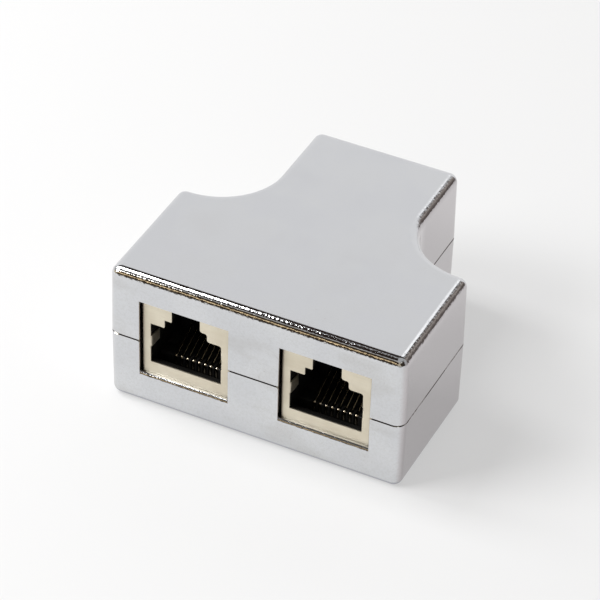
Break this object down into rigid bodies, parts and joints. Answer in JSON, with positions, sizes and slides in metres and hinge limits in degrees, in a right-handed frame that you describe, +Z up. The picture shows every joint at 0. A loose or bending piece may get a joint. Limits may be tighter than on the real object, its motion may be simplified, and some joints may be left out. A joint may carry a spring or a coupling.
{
  "type": "rj45 splitter adapter",
  "caption": "T-shaped network splitter in a plated housing of two halves, with shielded modular sockets in its broad front and in the end of its stem.",
  "frame": {"origin": "underside, in the middle of the outer box", "axes": "+X along the broad front face to its right end as seen from the front, +Y from the front face to the stem's end, +Z up"},
  "size_m": [0.05, 0.048, 0.0248],
  "materials": {
    "plated_housing": "moulded plastic with a satin bright metal plating",
    "shield_sheet": "satin nickel-plated sheet with a warm tint",
    "black_moulding": "matte black",
    "contact_wire": "gold-plated spring bronze",
    "board": "green glass-filled board"
  },
  "bodies": {
    "root": {"upper_shell": "plated_housing", "lower_shell": "plated_housing", "circuit_board": "board", "left_jack_shield": "shield_sheet", "left_jack_body": "black_moulding", "left_jack_carrier": "black_moulding", "left_jack_contact_1": "contact_wire", "left_jack_contact_2": "contact_wire", "left_jack_contact_3": "contact_wire", "left_jack_contact_4": "contact_wire", "left_jack_contact_5": "contact_wire", "left_jack_contact_6": "contact_wire", "left_jack_contact_7": "contact_wire", "left_jack_contact_8": "contact_wire", "right_jack_shield": "shield_sheet", "right_jack_body": "black_moulding", "right_jack_carrier": "black_moulding", "right_jack_contact_1": "contact_wire", "right_jack_contact_2": "contact_wire", "right_jack_contact_3": "contact_wire", "right_jack_contact_4": "contact_wire", "right_jack_contact_5": "contact_wire", "right_jack_contact_6": "contact_wire", "right_jack_contact_7": "contact_wire", "right_jack_contact_8": "contact_wire", "rear_jack_shield": "shield_sheet", "rear_jack_body": "black_moulding", "rear_jack_carrier": "black_moulding", "rear_jack_contact_1": "contact_wire", "rear_jack_contact_2": "contact_wire", "rear_jack_contact_3": "contact_wire", "rear_jack_contact_4": "contact_wire", "rear_jack_contact_5": "contact_wire", "rear_jack_contact_6": "contact_wire", "rear_jack_contact_7": "contact_wire", "rear_jack_contact_8": "contact_wire"}
  },
  "joints": []
}
